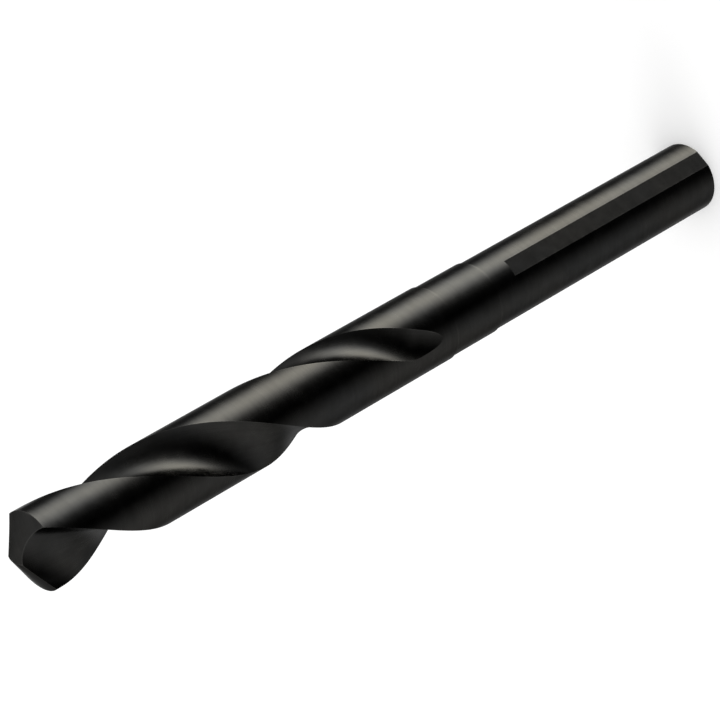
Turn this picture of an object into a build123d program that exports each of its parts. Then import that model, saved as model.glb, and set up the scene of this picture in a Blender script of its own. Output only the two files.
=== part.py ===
from build123d import *
from math import cos, pi, radians, sin, sqrt, tan
import os

# Reduced-shank twist drill: two right-hand flutes, a 118 degree point and three shank flats.
# Millimetres, +Z up. The drill stands on its shank with the point up. The origin is the
# centre of the shank's end face, and the first flat faces +X.

# Shank, neck and body, from the bottom up
shank_diameter = 12.7  # 1/2 in
shank_length = 55.9
neck_diameter = 13.1  # 33/64 in
neck_length = 10.8
body_diameter = 13.494  # 17/32 in
body_length = 89.3  # from the neck to the chisel edge

# Flats that the chuck's jaws grip
flat_count = 3
flat_depth = 0.2
flat_length = 50.8
flat_direction = 0.0  # degrees from +X

# Flutes
flute_count = 2
helix_angle = 28.0  # at the body's surface, from the axis
flute_radius = 5.6  # of the round cutter
flute_setback = 9.6  # from the neck to where the cutter starts to lift out
exit_length = 6.0  # over which the cutter lifts clear of the body
exit_angle = 10.25  # degrees at which it lifts
exit_twist = 0.5  # of the flute's own twist, as it lifts
turn_overcut = 0.02  # extra depth where the cutter starts to lift
web_thickness = 3.55  # core left between the flutes at the lip corners
web_taper = 3.0  # degrees by which the web thickens towards the shank, on each side

# Ground point
point_angle = 118.0
chisel_angle = 135.0  # between a lip and the chisel edge
grind_offset = 1.6  # of each grinding cone's axis from the drill's: sets the lip relief
lip_direction = 80.4  # of the first lip's outer corner, degrees from +X
lip_lag = 53.0  # degrees from a flute's centreline back to its lip

shank_radius = shank_diameter / 2
neck_radius = neck_diameter / 2
body_radius = body_diameter / 2
neck_base = shank_length
body_base = neck_base + neck_length
tip_height = body_base + body_length

# A grinding cone stands point up with its axis parallel to the drill's. It passes through
# the drill's axis at the chisel edge, and its surface is lower further from its own axis.
cone_drop = 1 / tan(radians(point_angle / 2))
cone_apex = tip_height + grind_offset * cone_drop
corner_reach = sqrt(
    body_radius**2 + grind_offset**2 - 2 * body_radius * grind_offset * cos(radians(chisel_angle))
)
corner_height = cone_apex - corner_reach * cone_drop

# The cutter follows a tapered helix from the flute's shallow end to past the point
flute_lead = pi * body_diameter / tan(radians(helix_angle))
flute_base = body_base + flute_setback
flute_span = tip_height + flute_radius - flute_base
web_growth = (corner_height - flute_base) * tan(radians(web_taper))
flute_base_reach = web_thickness / 2 + flute_radius + web_growth
flute_twist = 360 * (corner_height - flute_base) / flute_lead
exit_lead = flute_lead / exit_twist
exit_turn = 360 * exit_length / exit_lead
flute_direction = lip_direction + lip_lag - flute_twist

with BuildPart() as flute_cut:
    with BuildLine() as cutter_path:
        Helix(
            flute_lead,
            flute_span,
            flute_base_reach,
            center=(0, 0, flute_base),
            cone_angle=-web_taper,
        )
    with BuildSketch(Plane(cutter_path.line @ 0, z_dir=cutter_path.line % 0)):
        Circle(flute_radius)
    sweep(path=cutter_path.line, is_frenet=True)
    # The cutter turns here, and lifts clear of the body along a steeper helix
    with Locations(cutter_path.line @ 0):
        Sphere(flute_radius + turn_overcut)
    with BuildLine() as exit_path:
        lift = Helix(
            exit_lead,
            exit_length,
            flute_base_reach + exit_length * tan(radians(exit_angle)),
            center=(0, 0, flute_base - exit_length),
            cone_angle=-exit_angle,
            mode=Mode.PRIVATE,
        )
        add(lift.rotate(Axis.Z, -exit_turn))
    with BuildSketch(Plane(exit_path.line @ 0, z_dir=exit_path.line % 0)):
        Circle(flute_radius)
    sweep(path=exit_path.line, is_frenet=True)

with BuildPart() as drill_bit:
    with BuildSketch(Plane.XZ):
        with BuildLine():
            Polyline(
                (0, 0),
                (shank_radius, 0),
                (shank_radius, neck_base),
                (neck_radius, neck_base),
                (neck_radius, body_base),
                (body_radius, body_base),
                (body_radius, tip_height),
                (0, tip_height),
                close=True,
            )
        make_face()
    revolve(axis=Axis.Z)

    with BuildSketch():
        with PolarLocations(shank_radius - flat_depth, flat_count, start_angle=flat_direction):
            Rectangle(shank_diameter, shank_diameter, align=(Align.MIN, Align.CENTER))
    extrude(amount=flat_length, mode=Mode.SUBTRACT)

    for flute in range(flute_count):
        with Locations(Rotation(0, 0, flute_direction + 360 * flute / flute_count)):
            add(flute_cut.part, mode=Mode.SUBTRACT)

    # Each flank is ground by its own cone, and the two cones meet in the chisel edge
    for flank in range(flute_count):
        axis_direction = radians(lip_direction + chisel_angle + 360 * flank / flute_count)
        cone_centre = (grind_offset * cos(axis_direction), grind_offset * sin(axis_direction))
        with Locations(cone_centre):
            Cone(
                cone_apex / cone_drop,
                0,
                cone_apex,
                align=(Align.CENTER, Align.CENTER, Align.MIN),
                mode=Mode.INTERSECT,
            )

drill_bit.part.label = "drill_bit"
os.makedirs("parts", exist_ok=True)
export_step(drill_bit.part, "parts/drill_bit.step")
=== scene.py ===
import math

import bpy
from bpy.props import FloatProperty, FloatVectorProperty, IntProperty, PointerProperty
from mathutils import Matrix, Vector


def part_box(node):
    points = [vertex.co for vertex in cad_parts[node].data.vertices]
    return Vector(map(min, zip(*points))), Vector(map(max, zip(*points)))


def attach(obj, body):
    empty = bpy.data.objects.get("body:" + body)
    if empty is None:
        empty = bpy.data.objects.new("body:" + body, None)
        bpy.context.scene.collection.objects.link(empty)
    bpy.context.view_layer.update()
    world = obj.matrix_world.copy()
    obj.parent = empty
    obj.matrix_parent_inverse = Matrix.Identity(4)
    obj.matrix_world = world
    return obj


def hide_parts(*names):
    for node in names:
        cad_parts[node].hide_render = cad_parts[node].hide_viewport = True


bl_info = {
    "name": "Reduced-shank twist drill",
    "version": (1, 0, 0),
    "blender": (4, 5, 0),
    "location": "View3D > Sidebar > Twist drill",
    "description": "Cuts a black oxide twist drill from its blank and sets a plain studio round it",
    "category": "Object",
}

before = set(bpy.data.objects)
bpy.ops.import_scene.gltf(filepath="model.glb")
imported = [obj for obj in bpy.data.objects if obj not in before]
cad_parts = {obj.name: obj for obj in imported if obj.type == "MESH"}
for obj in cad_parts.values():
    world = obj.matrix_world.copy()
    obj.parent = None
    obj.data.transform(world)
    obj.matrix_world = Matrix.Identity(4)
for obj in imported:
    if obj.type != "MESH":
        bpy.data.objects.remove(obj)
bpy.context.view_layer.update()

NODE = "drill_bit"
BODY = "root"

MM = 0.001
TIP_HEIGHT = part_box(NODE)[1][2]

ABOUT_Z = {"rotation_type": "Z_AXIS"}

# What a face was made by, stored on the tools' faces and kept through the cuts. The order is
# that of CUTS.
GROUND, FLUTE, FLAT, FLANK = range(4)


class Wiring:
    """Adds nodes to a tree. An input is given as a constant or as another node's output."""

    def __init__(self, tree):
        self.tree = tree
        tree.nodes.clear()

    def node(self, kind, *inputs, settings=None, **named):
        node = self.tree.nodes.new(kind)
        for name, value in (settings or {}).items():
            setattr(node, name, value)
        for place, value in [*enumerate(inputs), *named.items()]:
            if value is None:
                continue
            socket = node.inputs[place.replace("_", " ") if isinstance(place, str) else place]
            for single in value if isinstance(value, list) else [value]:
                if isinstance(single, bpy.types.NodeSocket):
                    self.tree.links.new(single, socket)
                else:
                    socket.default_value = single
        return node

    def math(self, operation, *inputs, clamp=False):
        settings = {"operation": operation, "use_clamp": clamp}
        return self.node("ShaderNodeMath", *inputs, settings=settings).outputs[0]

    def vector(self, x=0.0, y=0.0, z=0.0):
        return self.node("ShaderNodeCombineXYZ", x, y, z).outputs[0]

    def ranged(self, value, low, high, to_low=0.0, to_high=1.0):
        """Takes low..high smoothly to to_low..to_high, and holds what lies beyond."""
        settings = {"interpolation_type": "SMOOTHSTEP"}
        inputs = (value, low, high, to_low, to_high)
        return self.node("ShaderNodeMapRange", *inputs, settings=settings).outputs[0]

    def blend(self, share, first, second, kind="MIX"):
        """Mixes two colours."""
        node = self.node(
            "ShaderNodeMix", share, settings={"data_type": "RGBA", "blend_type": kind}
        )
        for place, value in ((6, first), (7, second)):
            if isinstance(value, bpy.types.NodeSocket):
                self.tree.links.new(value, node.inputs[place])
            else:
                node.inputs[place].default_value = (*value, 1)
        return node.outputs[2]


class DrillSettings(bpy.types.PropertyGroup):
    """Sizes of the drill and of the tools that cut it."""

    overall_length: FloatProperty(
        name="Overall length",
        description="From the shank's end to the chisel edge",
        default=TIP_HEIGHT,
        subtype="DISTANCE",
        unit="LENGTH",
    )
    shank_diameter: FloatProperty(
        name="Shank diameter",
        description="Diameter of the reduced shank",
        default=12.7 * MM,
        subtype="DISTANCE",
        unit="LENGTH",
    )
    shank_length: FloatProperty(
        name="Shank length",
        description="From the shank's end to the neck",
        default=55.9 * MM,
        subtype="DISTANCE",
        unit="LENGTH",
    )
    neck_diameter: FloatProperty(
        name="Neck diameter",
        description="Diameter of the short neck between shank and body",
        default=13.1 * MM,
        subtype="DISTANCE",
        unit="LENGTH",
    )
    neck_length: FloatProperty(
        name="Neck length",
        description="From the shank to the body",
        default=10.8 * MM,
        subtype="DISTANCE",
        unit="LENGTH",
    )
    body_diameter: FloatProperty(
        name="Body diameter",
        description="Diameter of the fluted body, and of the hole it drills",
        default=13.494 * MM,
        subtype="DISTANCE",
        unit="LENGTH",
    )
    flat_count: IntProperty(
        name="Flats",
        description="Number of flats ground along the shank",
        default=3,
        min=1,
        max=8,
    )
    flat_depth: FloatProperty(
        name="Flat depth",
        description="How far each flat is ground into the shank",
        default=0.2 * MM,
        subtype="DISTANCE",
        unit="LENGTH",
    )
    flat_length: FloatProperty(
        name="Flat length",
        description="From the shank's end to the end of a flat",
        default=50.8 * MM,
        subtype="DISTANCE",
        unit="LENGTH",
    )
    flute_count: IntProperty(
        name="Flutes",
        description="Number of flutes, and of lips",
        default=2,
        min=1,
        max=4,
    )
    helix_angle: FloatProperty(
        name="Helix angle",
        description="Slope of the flutes at the body's surface, from the drill's axis",
        default=math.radians(28.0),
        subtype="ANGLE",
    )
    flute_radius: FloatProperty(
        name="Flute radius",
        description="Radius of the round cutter that makes a flute",
        default=5.6 * MM,
        subtype="DISTANCE",
        unit="LENGTH",
    )
    web_thickness: FloatProperty(
        name="Web thickness",
        description="Core left between the flutes at the lips",
        default=3.55 * MM,
        subtype="DISTANCE",
        unit="LENGTH",
    )
    web_taper: FloatProperty(
        name="Web taper",
        description="Angle by which the web thickens towards the shank, on each side",
        default=math.radians(3.0),
        subtype="ANGLE",
    )
    flute_setback: FloatProperty(
        name="Flute setback",
        description="From the neck to where the cutter starts to lift out",
        default=9.6 * MM,
        subtype="DISTANCE",
        unit="LENGTH",
    )
    exit_angle: FloatProperty(
        name="Exit angle",
        description="Slope at which the cutter lifts out of the body",
        default=math.radians(10.25),
        subtype="ANGLE",
    )
    exit_twist: FloatProperty(
        name="Exit twist",
        description="Share of the flute's own twist that the cutter keeps as it lifts",
        default=0.5,
        subtype="FACTOR",
        min=0.0,
        max=1.0,
    )
    point_angle: FloatProperty(
        name="Point angle",
        description="Full angle of the ground point",
        default=math.radians(118.0),
        subtype="ANGLE",
    )
    chisel_angle: FloatProperty(
        name="Chisel angle",
        description="Between a lip and the chisel edge",
        default=math.radians(135.0),
        subtype="ANGLE",
    )
    grind_offset: FloatProperty(
        name="Grind offset",
        description="From the drill's axis to that of each grinding cone: sets the lip relief",
        default=1.6 * MM,
        subtype="DISTANCE",
        unit="LENGTH",
    )
    lip_direction: FloatProperty(
        name="Lip direction",
        description="Direction of the first lip's outer corner",
        default=math.radians(80.4),
        subtype="ANGLE",
    )
    lip_lag: FloatProperty(
        name="Lip lag",
        description="Angle from a flute's centreline back to its lip",
        default=math.radians(53.0),
        subtype="ANGLE",
    )


class OxideSettings(bpy.types.PropertyGroup):
    """Colours and gloss of the black oxide."""

    cool_colour: FloatVectorProperty(
        name="Cool oxide",
        description="Reflected colour of the oxide where it is bluish",
        subtype="COLOR",
        default=(0.0246, 0.0247, 0.0243),
        min=0.0,
        max=1.0,
    )
    warm_colour: FloatVectorProperty(
        name="Warm oxide",
        description="Reflected colour of the oxide where it is brownish",
        subtype="COLOR",
        default=(0.0272, 0.0266, 0.0250),
        min=0.0,
        max=1.0,
    )
    worn_colour: FloatVectorProperty(
        name="Worn steel",
        description="Reflected colour where an edge has lost its oxide",
        subtype="COLOR",
        default=(0.145, 0.141, 0.134),
        min=0.0,
        max=1.0,
    )
    wear: FloatProperty(
        name="Edge wear",
        description="How much of the oxide is worn from the sharp edges",
        default=0.14,
        min=0.0,
        max=1.0,
        subtype="FACTOR",
    )
    wear_width: FloatProperty(
        name="Wear width",
        description="How far the wear reaches from an edge",
        default=0.35 * MM,
        subtype="DISTANCE",
        unit="LENGTH",
    )
    edge_tint: FloatVectorProperty(
        name="Edge tint",
        description="Colour of the reflection at a glancing angle",
        subtype="COLOR",
        default=(0.46, 0.46, 0.46),
        min=0.0,
        max=1.0,
    )


class StageSettings(bpy.types.PropertyGroup):
    """Camera, floor and lights."""

    azimuth: FloatProperty(
        name="Camera azimuth",
        description="Direction of the camera round the drill",
        default=math.radians(76.0),
        subtype="ANGLE",
    )
    elevation: FloatProperty(
        name="Camera elevation",
        description="Height of the camera above the horizon",
        default=math.radians(35.2644),
        subtype="ANGLE",
    )
    roll: FloatProperty(
        name="Camera roll",
        description="Turn of the camera about its line of sight",
        default=math.radians(-119.7433),
        subtype="ANGLE",
    )
    place: FloatVectorProperty(
        name="Camera place",
        description="Where the camera stands",
        default=(0.375228, -0.092952, 0.356041),
        subtype="TRANSLATION",
        unit="LENGTH",
        precision=6,
    )
    lens: FloatProperty(
        name="Lens",
        description="Focal length on a 36 mm sensor, in millimetres",
        default=144.643,
        min=1.0,
    )
    panel_level: FloatProperty(
        name="Panel level",
        description="Brightness of the tent's panels, as a share of their own",
        default=1.0,
        min=0.0,
    )
    panel_colour: FloatVectorProperty(
        name="Panel colour",
        description="Colour of the panel's light",
        subtype="COLOR",
        default=(1.0, 0.975, 0.89),
        min=0.0,
        max=1.0,
    )
    floor_lift: FloatProperty(
        name="Floor lift",
        description="What the camera sees added to the floor, to make it white",
        default=0.17,
        min=0.0,
        max=1.0,
    )
    floor_colour: FloatVectorProperty(
        name="Floor colour",
        description="Pale colour of the floor",
        subtype="COLOR",
        default=(0.86, 0.86, 0.86),
        min=0.0,
        max=1.0,
    )


# The cuts: the size of a mark in millimetres along X, Y and Z, once the pattern has been
# unwound to follow the cut, the gloss of the cut face, the depth of its marks, and how far
# its gloss and its edges' wear go, as a share of the most
CUTS = {
    "ground_oxide": {
        "marks": (6.0, 6.0, 0.10), "gloss": 0.225, "depth": 0.0005, "uneven": 1.0, "wear": 0.55
    },
    "flute_oxide": {
        "marks": (0.13, 0.13, 15.0), "gloss": 0.235, "depth": 0.0005, "uneven": 1.0, "wear": 1.0
    },
    "flat_oxide": {
        "marks": (4.0, 4.0, 0.15), "gloss": 0.235, "depth": 0.0006, "uneven": 0.4, "wear": 1.0
    },
    "flank_oxide": {
        "marks": (0.12, 2.6, 2.6), "gloss": 0.30, "depth": 0.0012, "uneven": 1.0, "wear": 1.0
    },
}


# Noise over the whole drill: the size of a patch in millimetres along X, Y and Z, detail,
# place in the pattern, and how strong its fine detail is
MOTTLE = ((2.4, 2.4, 2.4), 4.0, 4.4, 0.6)
CLOUD = ((10.0, 10.0, 16.0), 2.0, 7.9, 0.5)
PITS = ((0.30, 0.30, 0.30), 2.0, 3.3, 0.6)
BROAD_MARK = 4.5  # size of a broad mark, in fine marks
WEAR_POLISH = 0.10  # by which a fully worn edge is glossier
BROAD_RELIEF = 1.2  # depth of the broad marks, in fine marks
PIT_RELIEF = -0.5  # the same for the pits


def oxide_material(name, settings, lead, marks, gloss, depth, uneven, wear):
    """Black oxide over a cut face: cutting marks, mottled colour and gloss, and worn edges."""
    material = bpy.data.materials.new(name)
    material.use_nodes = True
    w = Wiring(material.node_tree)
    place = w.node("ShaderNodeTexCoord").outputs["Object"]
    along = place
    if name == "flute_oxide":  # the marks run along the flute
        height = w.node("ShaderNodeSeparateXYZ", place).outputs[2]
        unwound = w.math("MULTIPLY", height, -math.tau / lead)
        turned = w.node(
            "ShaderNodeVectorRotate", settings=ABOUT_Z, Vector=place, Angle=unwound
        )
        along = turned.outputs[0]

    def noise(vector, size, detail, shift, fall=0.5):
        """Noise from 0 to 1, whose marks are size millimetres along each axis."""
        scale = tuple(1 / (MM * side) for side in size)
        scaled = w.node("ShaderNodeMapping", vector, Location=(shift,) * 3, Scale=scale).outputs[0]
        settings = {"Scale": 1.0, "Detail": detail, "Roughness": fall}
        return w.node("ShaderNodeTexNoise", scaled, **settings).outputs["Fac"]

    fine = noise(along, marks, 3.0, 1.7)
    broad = noise(along, [BROAD_MARK * side for side in marks], 2.0, 9.2)
    mottle = noise(place, *MOTTLE)
    cloud = noise(place, *CLOUD)
    pits = noise(place, *PITS)
    edge = w.node("ShaderNodeAttribute", settings={"attribute_name": "edge_wear"}).outputs["Fac"]

    # Colour drifts between cool and warm, is darker in the marks and lighter on a worn edge
    oxide = w.blend(w.ranged(cloud, 0.35, 0.65), settings.cool_colour, settings.warm_colour)
    patchy = w.ranged(mottle, 0.25, 0.75, 0.88, 1.10)
    shade = w.math("MULTIPLY", patchy, w.ranged(broad, 0.3, 0.7, 0.96, 1.04))
    shade = w.math("MULTIPLY", shade, w.ranged(fine, 0.25, 0.75, 0.95, 1.04))
    oxide = w.blend(1.0, oxide, w.vector(shade, shade, shade), "MULTIPLY")
    ragged = w.math("MULTIPLY_ADD", w.math("SUBTRACT", mottle, 0.5), 0.9, edge)
    ragged = w.math("MULTIPLY_ADD", w.math("SUBTRACT", fine, 0.5), 0.5, ragged)
    worn = w.ranged(ragged, 0.55, 1.05, 0.0, settings.wear * wear)
    colour = w.blend(worn, oxide, settings.worn_colour)

    # Gloss follows the marks and the mottling, and a worn edge is polished
    patches = w.ranged(mottle, 0.25, 0.75, -0.035 * uneven, 0.045 * uneven)
    streaks = w.ranged(fine, 0.2, 0.8, -0.02 * uneven, 0.02 * uneven)
    drifts = w.ranged(cloud, 0.3, 0.7, -0.015 * uneven, 0.02 * uneven)
    rough = w.math("ADD", w.math("ADD", patches, streaks), w.math("ADD", drifts, gloss))
    rough = w.math("SUBTRACT", rough, w.math("MULTIPLY", worn, WEAR_POLISH))

    relief = w.math("MULTIPLY_ADD", broad, BROAD_RELIEF, fine)
    relief = w.math("MULTIPLY_ADD", w.ranged(pits, 0.58, 0.72), PIT_RELIEF, relief)
    bump = w.node("ShaderNodeBump", 1.0, depth * MM, Height=relief).outputs[0]

    shader = w.node(
        "ShaderNodeBsdfPrincipled",
        Base_Color=colour,
        Metallic=1.0,
        Roughness=rough,
        Specular_Tint=(*settings.edge_tint, 1),
        Normal=bump,
    )
    w.node("ShaderNodeOutputMaterial", shader.outputs["BSDF"])
    return material


# The tent's bright panels: azimuth, elevation, half width and half height in degrees, and
# strength over the tent's own
PANELS = (
    (58.5, -42.0, 46.5, 41.0, 9.4),
    (146.0, -11.0, 32.0, 23.0, 5.0),
)
# Its dark cards: the same, and how dark each is
CARDS = (
    (-24.5, -32.0, 76.0, 150.0, 1.0),
    (118.0, -35.0, 42.0, 80.0, 0.55),
    (168.0, -38.0, 50.0, 95.0, 0.95),
    (26.0, 8.0, 60.0, 34.0, 0.85),
    (-4.0, -24.0, 24.0, 60.0, 0.75),
)

# The tree's inputs, which are the sizes of the same names
TREE_SIZES = (
    "overall_length",
    "shank_diameter",
    "shank_length",
    "neck_diameter",
    "neck_length",
    "body_diameter",
    "flat_count",
    "flat_depth",
    "flat_length",
    "helix_angle",
    "flute_radius",
    "web_thickness",
    "web_taper",
    "flute_setback",
    "exit_angle",
    "exit_twist",
    "point_angle",
    "chisel_angle",
    "grind_offset",
    "lip_direction",
    "lip_lag",
)
WHOLE_SIZES = ("flat_count",)  # those that are whole numbers

OVERRUN = 2.0 * MM  # by which a tool or a blank runs past what it cuts or joins
ROUND_STEPS = 240  # facets round the blank
FLUTE_STEPS = 112  # facets round the cutter
FLUTE_PITCH = 0.5 * MM  # between the cutter's stations along a flute
CRISP_ANGLE = math.radians(12.0)  # between faces, from which their edge is left sharp
END_RINGS = 24  # rings of facets on a bar's ends
SHANK_ROWS, NECK_ROWS, BODY_ROWS = 60, 16, 130  # rows of facets along each bar
FLAT_STEPS = (60, 100)  # rows of points across and along a flat
CONE_STEPS = 360  # facets round a grinding cone
CONE_RINGS = 100
WELD = 0.5e-6  # closer points than this are one


def drill_tree(flute_count):
    """The blank, less its flats and flutes, within the grinding cone of each flank."""
    tree = bpy.data.node_groups.new("ground_twist_drill", "GeometryNodeTree")
    w = Wiring(tree)
    tree.interface.new_socket("Geometry", in_out="INPUT", socket_type="NodeSocketGeometry")
    for name in TREE_SIZES:
        kind = "NodeSocketInt" if name in WHOLE_SIZES else "NodeSocketFloat"
        tree.interface.new_socket(name, in_out="INPUT", socket_type=kind)
    tree.interface.new_socket("wear_width", in_out="INPUT", socket_type="NodeSocketFloat")
    for name in CUTS:
        tree.interface.new_socket(name, in_out="INPUT", socket_type="NodeSocketMaterial")
    tree.interface.new_socket("Geometry", in_out="OUTPUT", socket_type="NodeSocketGeometry")
    given = w.node("NodeGroupInput").outputs

    shank_radius, neck_radius, body_radius = (
        w.math("MULTIPLY", given[name], 0.5)
        for name in ("shank_diameter", "neck_diameter", "body_diameter")
    )
    body_base = w.math("ADD", given["shank_length"], given["neck_length"])
    tip = given["overall_length"]

    def surface(mesh, made_by):
        stored = w.node(
            "GeometryNodeStoreNamedAttribute",
            mesh,
            settings={"data_type": "INT", "domain": "FACE"},
            Name="made_by",
            Value=made_by,
        )
        return stored.outputs[0]

    def moved(mesh, place=None, turn=None):
        return w.node("GeometryNodeTransform", mesh, Translation=place, Rotation=turn).outputs[0]

    def bar(radius, bottom, top, rows):
        length = w.math("SUBTRACT", top, bottom)
        mesh = w.node(
            "GeometryNodeMeshCylinder",
            Vertices=ROUND_STEPS,
            Side_Segments=rows,
            Fill_Segments=END_RINGS,
            Radius=radius,
            Depth=length,
            settings={"fill_type": "TRIANGLE_FAN"},
        ).outputs[0]
        middle = w.math("MULTIPLY_ADD", length, 0.5, bottom)
        return moved(mesh, w.vector(z=middle))

    def round_axis(tool, count, direction):
        """Copies of a tool at even turns about the drill's axis."""
        points = w.node("GeometryNodePoints", Count=count).outputs[0]
        index = w.node("GeometryNodeInputIndex").outputs[0]
        step = w.math("DIVIDE", math.tau, count)
        turn = w.math("MULTIPLY_ADD", index, step, direction)
        copies = w.node(
            "GeometryNodeInstanceOnPoints", points, Instance=tool, Rotation=w.vector(z=turn)
        ).outputs[0]
        return w.node("GeometryNodeRealizeInstances", copies).outputs[0]

    def boolean(operation, first, others):
        return w.node(
            "GeometryNodeMeshBoolean",
            first,
            others,
            settings={"operation": operation, "solver": "MANIFOLD"},
        ).outputs[0]

    # Blank: each smaller bar runs on inside the next
    shank = bar(shank_radius, 0.0, w.math("ADD", given["shank_length"], OVERRUN), SHANK_ROWS)
    neck = bar(neck_radius, given["shank_length"], w.math("ADD", body_base, OVERRUN), NECK_ROWS)
    body = bar(body_radius, body_base, w.math("ADD", tip, OVERRUN), BODY_ROWS)
    blank = surface(boolean("UNION", None, [shank, neck, body]), GROUND)

    # Flats
    cut_depth = shank_radius
    block_length = w.math("ADD", given["flat_length"], OVERRUN)
    block = w.node(
        "GeometryNodeMeshCube",
        Size=w.vector(cut_depth, given["shank_diameter"], block_length),
        Vertices_Y=FLAT_STEPS[0],
        Vertices_Z=FLAT_STEPS[1],
    ).outputs[0]
    reach = w.math("SUBTRACT", shank_radius, given["flat_depth"])
    block = moved(
        block,
        w.vector(
            w.math("MULTIPLY_ADD", cut_depth, 0.5, reach),
            0.0,
            w.math("SUBTRACT", given["flat_length"], w.math("MULTIPLY", block_length, 0.5)),
        ),
    )
    flats = round_axis(surface(block, FLAT), given["flat_count"], 0.0)

    # Grinding cones
    slope = w.math("DIVIDE", 1.0, w.math("TANGENT", w.math("MULTIPLY", given["point_angle"], 0.5)))
    apex = w.math("MULTIPLY_ADD", given["grind_offset"], slope, tip)
    across = w.math(
        "MULTIPLY",
        w.math("MULTIPLY", body_radius, given["grind_offset"]),
        w.math("MULTIPLY", w.math("COSINE", given["chisel_angle"]), 2.0),
    )
    corner_reach = w.math(
        "SQRT",
        w.math(
            "SUBTRACT",
            w.math(
                "MULTIPLY_ADD",
                given["grind_offset"],
                given["grind_offset"],
                w.math("MULTIPLY", body_radius, body_radius),
            ),
            across,
        ),
    )
    corner_height = w.math("SUBTRACT", apex, w.math("MULTIPLY", corner_reach, slope))
    cone_height = w.math("ADD", apex, OVERRUN)
    cone = w.node(
        "GeometryNodeMeshCone",
        Vertices=CONE_STEPS,
        Side_Segments=CONE_RINGS,
        Fill_Segments=1,
        Radius_Top=0.0,
        Radius_Bottom=w.math("DIVIDE", cone_height, slope),
        Depth=cone_height,
        settings={"fill_type": "TRIANGLE_FAN"},
    ).outputs[0]
    # Its rings crowd towards the apex, where the point is
    position = w.node("GeometryNodeInputPosition").outputs[0]
    summit = w.vector(z=cone_height)

    def vector_math(operation, *inputs, **named):
        settings = {"operation": operation}
        return w.node("ShaderNodeVectorMath", *inputs, settings=settings, **named).outputs[0]

    down = vector_math("SUBTRACT", position, summit)
    drop = w.node("ShaderNodeSeparateXYZ", down).outputs[2]
    depth = w.math("DIVIDE", drop, w.math("MULTIPLY", cone_height, -1.0))
    crowded = vector_math("SCALE", down, Scale=w.math("MULTIPLY", depth, depth))
    lowered = vector_math("ADD", crowded, summit)
    cone = w.node("GeometryNodeSetPosition", cone, Position=lowered).outputs[0]
    cone = moved(cone, w.vector(given["grind_offset"], 0.0, w.math("MULTIPLY", OVERRUN, -1.0)))
    cone = surface(cone, FLANK)
    cone_direction = w.math("ADD", given["lip_direction"], given["chisel_angle"])

    # Flutes: the cutter follows a tapered helix, and lifts out along a steeper one
    lead = w.math(
        "DIVIDE",
        w.math("MULTIPLY", given["body_diameter"], math.pi),
        w.math("TANGENT", given["helix_angle"]),
    )
    turn_rate = w.math("DIVIDE", math.tau, lead)
    flute_base = w.math("ADD", body_base, given["flute_setback"])
    flute_rise = w.math("SUBTRACT", corner_height, flute_base)
    taper = w.math("TANGENT", given["web_taper"])
    base_reach = w.math(
        "ADD",
        w.math("MULTIPLY_ADD", given["web_thickness"], 0.5, given["flute_radius"]),
        w.math("MULTIPLY", flute_rise, taper),
    )
    exit_slope = w.math("TANGENT", given["exit_angle"])
    clear = w.math("ADD", w.math("ADD", body_radius, given["flute_radius"]), OVERRUN)
    exit_length = w.math("DIVIDE", w.math("SUBTRACT", clear, base_reach), exit_slope)
    path_bottom = w.math("SUBTRACT", flute_base, exit_length)
    path_top = w.math("ADD", tip, given["flute_radius"])
    path_rise = w.math("SUBTRACT", path_top, path_bottom)
    stations = w.math("CEIL", w.math("DIVIDE", path_rise, FLUTE_PITCH))
    line = w.node(
        "GeometryNodeMeshLine",
        Count=stations,
        Start_Location=w.vector(z=path_bottom),
        Offset=(0.0, 0.0, FLUTE_PITCH),
        settings={"mode": "OFFSET"},
    ).outputs[0]
    path = w.node("GeometryNodeMeshToCurve", line).outputs[0]
    height = w.node(
        "ShaderNodeSeparateXYZ", w.node("GeometryNodeInputPosition").outputs[0]
    ).outputs[2]
    climb = w.math("MAXIMUM", w.math("SUBTRACT", height, flute_base), 0.0)
    lift = w.math("MAXIMUM", w.math("SUBTRACT", flute_base, height), 0.0)
    lifted_reach = w.math("MULTIPLY_ADD", lift, exit_slope, base_reach)
    path_reach = w.math("SUBTRACT", lifted_reach, w.math("MULTIPLY", climb, taper))
    turned = w.math("SUBTRACT", climb, w.math("MULTIPLY", lift, given["exit_twist"]))
    path_turn = w.math("MULTIPLY", turned, turn_rate)
    path = w.node(
        "GeometryNodeSetPosition",
        path,
        Position=w.vector(
            w.math("MULTIPLY", path_reach, w.math("COSINE", path_turn)),
            w.math("MULTIPLY", path_reach, w.math("SINE", path_turn)),
            height,
        ),
    ).outputs[0]
    section = w.node(
        "GeometryNodeCurvePrimitiveCircle",
        Resolution=FLUTE_STEPS,
        Radius=given["flute_radius"],
        settings={"mode": "RADIUS"},
    ).outputs[0]
    cutter = w.node("GeometryNodeCurveToMesh", path, section, Fill_Caps=True).outputs[0]
    flute_direction = w.math(
        "SUBTRACT",
        w.math("ADD", given["lip_direction"], given["lip_lag"]),
        w.math("MULTIPLY", flute_rise, turn_rate),
    )
    flutes = round_axis(surface(cutter, FLUTE), flute_count, flute_direction)

    cut = boolean("DIFFERENCE", blank, [flats, flutes])
    cones = []
    for flank in range(flute_count):
        turn = w.math("ADD", cone_direction, math.tau * flank / flute_count)
        cones.append(moved(cone, turn=w.vector(z=turn)))
    whole = boolean("INTERSECT", None, [cut, *cones])

    whole = w.node("GeometryNodeMergeByDistance", whole, Distance=WELD).outputs[0]
    # Edges stay crisp, and what lies between them is smooth
    edge_angle = w.node("GeometryNodeInputMeshEdgeAngle").outputs["Unsigned Angle"]
    crisp = w.math("GREATER_THAN", edge_angle, CRISP_ANGLE)
    shade = "GeometryNodeSetShadeSmooth"
    whole = w.node(shade, whole, None, True, settings={"domain": "FACE"}).outputs[0]
    whole = w.node(shade, whole, crisp, False, settings={"domain": "EDGE"}).outputs[0]

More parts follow.
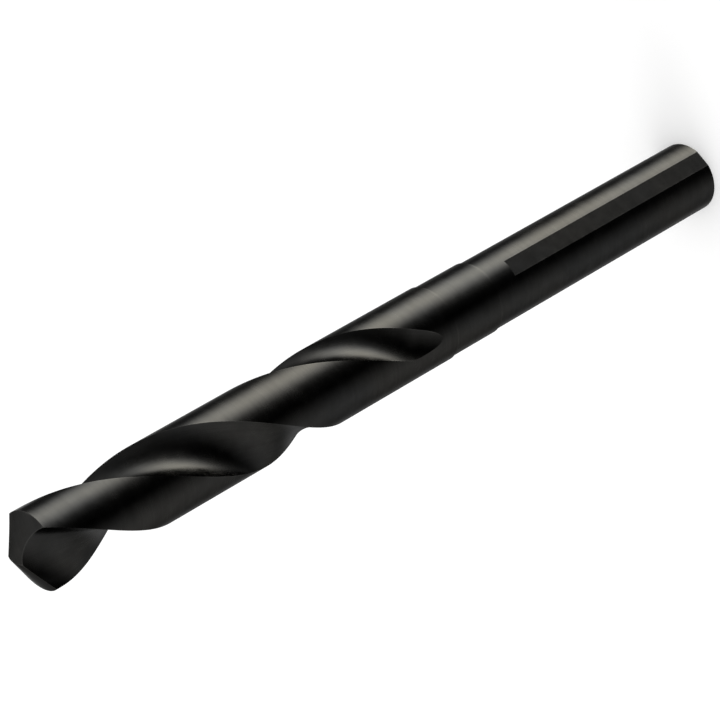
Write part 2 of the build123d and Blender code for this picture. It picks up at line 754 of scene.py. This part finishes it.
    # Wear fades with the distance from the crisp edges
    kept = {"domain": "EDGE"}
    edges = w.node("GeometryNodeSeparateGeometry", whole, crisp, settings=kept).outputs[0]
    nearest = w.node("GeometryNodeProximity", edges, settings={"target_element": "EDGES"})
    away = nearest.outputs["Distance"]
    worn = w.math("SUBTRACT", 1.0, w.math("DIVIDE", away, given["wear_width"]), clamp=True)
    whole = w.node(
        "GeometryNodeStoreNamedAttribute",
        whole,
        settings={"data_type": "FLOAT", "domain": "POINT"},
        Name="edge_wear",
        Value=worn,
    ).outputs[0]

    whole = w.node("GeometryNodeRealizeInstances", whole).outputs[0]
    made_by = w.node("GeometryNodeInputNamedAttribute", "made_by", settings={"data_type": "INT"})
    for cut, name in enumerate(CUTS):
        chosen = w.node("FunctionNodeCompare", settings={"data_type": "INT", "operation": "EQUAL"})
        tree.links.new(made_by.outputs[0], chosen.inputs[2])
        chosen.inputs[3].default_value = cut
        whole = w.node("GeometryNodeSetMaterial", whole, chosen.outputs[0], given[name]).outputs[0]
    w.node("NodeGroupOutput", whole)
    return tree


def drop_empty_slots(mesh):
    """Takes out the slots that hold no material, and keeps each face's own."""
    kept = [material for material in mesh.materials if material]
    owners = [mesh.materials[face.material_index] for face in mesh.polygons]
    mesh.materials.clear()
    for material in kept:
        mesh.materials.append(material)
    mesh.polygons.foreach_set("material_index", [kept.index(owner) for owner in owners])


class DRILL_OT_cut(bpy.types.Operator):
    """Cuts the drill from its blank, and gives it the oxide finish"""

    bl_idname = "twist_drill.cut"
    bl_label = "Cut the drill"

    def execute(self, context):
        sizes = context.scene.drill
        oxide = context.scene.oxide
        holder = bpy.data.objects.new("cutting", bpy.data.meshes.new("cutting"))
        context.scene.collection.objects.link(holder)
        modifier = holder.modifiers.new("twist drill", "NODES")
        modifier.node_group = drill_tree(sizes.flute_count)
        sockets = {
            item.name: item.identifier
            for item in modifier.node_group.interface.items_tree
            if item.in_out == "INPUT"
        }
        for name in TREE_SIZES:
            modifier[sockets[name]] = getattr(sizes, name)
        modifier[sockets["wear_width"]] = oxide.wear_width
        lead = math.pi * sizes.body_diameter / math.tan(sizes.helix_angle)
        for name, cut in CUTS.items():
            modifier[sockets[name]] = oxide_material(name, oxide, lead, **cut)
        evaluated = holder.evaluated_get(context.evaluated_depsgraph_get())
        mesh = bpy.data.meshes.new_from_object(evaluated)
        bpy.data.objects.remove(holder)
        mesh.name = "twist_drill"
        drop_empty_slots(mesh)
        drill = bpy.data.objects.new("twist_drill", mesh)
        context.scene.collection.objects.link(drill)
        if not mesh.polygons:
            raise RuntimeError("the drill came out empty")
        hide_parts(NODE)
        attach(drill, BODY)
        return {"FINISHED"}


def lobe(w, direction, azimuth, elevation, width, height):
    """A soft oval patch of the sky: 1 at its centre, and 0 at width and height away from it."""
    faced = w.node("ShaderNodeVectorRotate", settings=ABOUT_Z, Vector=direction, Angle=-azimuth)
    x, y, z = w.node("ShaderNodeSeparateXYZ", faced.outputs[0]).outputs
    across = w.math("DIVIDE", w.math("ARCTAN2", y, x), width)
    up = w.math("DIVIDE", w.math("SUBTRACT", w.math("ARCSINE", z), elevation), height)
    squares = w.math("MULTIPLY_ADD", across, across, w.math("MULTIPLY", up, up))
    away = w.math("SQRT", squares)
    return w.ranged(away, 0.0, 1.0, 1.0, 0.0)


def studio_world(settings):
    """A white tent all round the drill, with bright panels and dark cards let into it."""
    world = bpy.data.worlds.new("studio")
    world.use_nodes = True
    w = Wiring(world.node_tree)
    direction = w.node("ShaderNodeTexCoord").outputs["Generated"]
    level = 1.0
    for *place, depth in CARDS:
        card = lobe(w, direction, *map(math.radians, place))
        level = w.math("MULTIPLY", level, w.math("MULTIPLY_ADD", card, -depth, 1.0))
    lit_share = 0.0
    for *place, strength in PANELS:
        panel = lobe(w, direction, *map(math.radians, place))
        level = w.math("MULTIPLY_ADD", panel, strength * settings.panel_level, level)
        lit_share = w.math("MAXIMUM", panel, lit_share)
    colour = w.blend(lit_share, (1.0, 1.0, 1.0), settings.panel_colour)
    # Panels and cards stand where only the drill's gloss catches them
    gloss = w.node("ShaderNodeLightPath").outputs["Is Glossy Ray"]
    plain = w.node("ShaderNodeBackground", (1, 1, 1, 1), 1.0)
    lit = w.node("ShaderNodeBackground", colour, level)
    shown = w.node("ShaderNodeMixShader", gloss, plain.outputs[0], lit.outputs[0])
    w.node("ShaderNodeOutputWorld", shown.outputs[0])
    return world


def floor_material(settings):
    """A matt floor that the camera sees as white, but for the drill's shadow."""
    material = bpy.data.materials.new("pale_floor")
    material.use_nodes = True
    w = Wiring(material.node_tree)
    matt = w.node("ShaderNodeBsdfDiffuse", (*settings.floor_colour, 1)).outputs[0]
    camera_ray = w.node("ShaderNodeLightPath").outputs["Is Camera Ray"]
    lift = w.math("MULTIPLY", camera_ray, settings.floor_lift)
    glow = w.node("ShaderNodeEmission", (1, 1, 1, 1), lift).outputs[0]
    w.node("ShaderNodeOutputMaterial", w.node("ShaderNodeAddShader", matt, glow).outputs[0])
    return material


FLOOR_REACH = 6.0  # from the middle to each side, in metres
LAMP_SIDE = 0.5
LAMP_POWER = 1.5
LAMP_PLACE = (-0.45, -0.55, 0.75)
SENSOR = 36  # width in millimetres
NEAR, FAR = 0.01, 50  # clipping distances of the camera, in metres


class DRILL_OT_stage(bpy.types.Operator):
    """Sets the floor, the lights and the camera"""

    bl_idname = "twist_drill.stage"
    bl_label = "Set the stage"

    def execute(self, context):
        scene = context.scene
        settings = scene.drill_stage
        mesh = bpy.data.meshes.new("floor")
        side = FLOOR_REACH
        mesh.from_pydata(
            [(-side, -side, 0), (side, -side, 0), (side, side, 0), (-side, side, 0)],
            [],
            [(0, 1, 2, 3)],
        )
        floor = bpy.data.objects.new("floor", mesh)
        scene.collection.objects.link(floor)
        mesh.materials.append(floor_material(settings))
        floor.visible_glossy = False  # so that the drill's sides reflect the tent below it too
        scene.world = studio_world(settings)

        lamp = bpy.data.lights.new("top_softbox", "AREA")
        lamp.shape = "RECTANGLE"
        lamp.size, lamp.size_y = LAMP_SIDE, LAMP_SIDE
        lamp.energy = LAMP_POWER
        top = bpy.data.objects.new("top_softbox", lamp)
        top.location = LAMP_PLACE
        top.rotation_euler = (-top.location).to_track_quat("-Z", "Y").to_euler()
        scene.collection.objects.link(top)

        back = Vector(
            (
                math.sin(settings.azimuth) * math.cos(settings.elevation),
                -math.cos(settings.azimuth) * math.cos(settings.elevation),
                math.sin(settings.elevation),
            )
        )
        level = Vector((math.cos(settings.azimuth), math.sin(settings.azimuth), 0))
        turn = Matrix((level, back.cross(level), back)).transposed()
        turn = turn @ Matrix.Rotation(settings.roll, 3, "Z")
        camera_data = bpy.data.cameras.new("camera")
        camera_data.lens = settings.lens
        camera_data.sensor_width = SENSOR
        camera_data.clip_start = NEAR
        camera_data.clip_end = FAR
        camera = bpy.data.objects.new("camera", camera_data)
        camera.matrix_world = Matrix.Translation(settings.place) @ turn.to_4x4()
        scene.collection.objects.link(camera)
        scene.camera = camera
        scene.view_settings.view_transform = "Standard"
        return {"FINISHED"}


class DRILL_PT_panel(bpy.types.Panel):
    """Lists the steps in the sidebar"""

    bl_idname = "DRILL_PT_panel"
    bl_label = "Twist drill"
    bl_space_type = "VIEW_3D"
    bl_region_type = "UI"
    bl_category = "Twist drill"

    def draw(self, context):
        layout = self.layout
        for operator in OPERATORS:
            layout.operator(operator.bl_idname)


OPERATORS = (DRILL_OT_cut, DRILL_OT_stage)
CLASSES = (DrillSettings, OxideSettings, StageSettings, *OPERATORS, DRILL_PT_panel)


def register():
    for item in CLASSES:
        bpy.utils.register_class(item)
    bpy.types.Scene.drill = PointerProperty(type=DrillSettings)
    bpy.types.Scene.oxide = PointerProperty(type=OxideSettings)
    bpy.types.Scene.drill_stage = PointerProperty(type=StageSettings)


def unregister():
    del bpy.types.Scene.drill_stage
    del bpy.types.Scene.oxide
    del bpy.types.Scene.drill
    for item in reversed(CLASSES):
        bpy.utils.unregister_class(item)


def main():
    register()
    bpy.ops.twist_drill.cut()
    bpy.ops.twist_drill.stage()


if __name__ == "__main__":
    main()
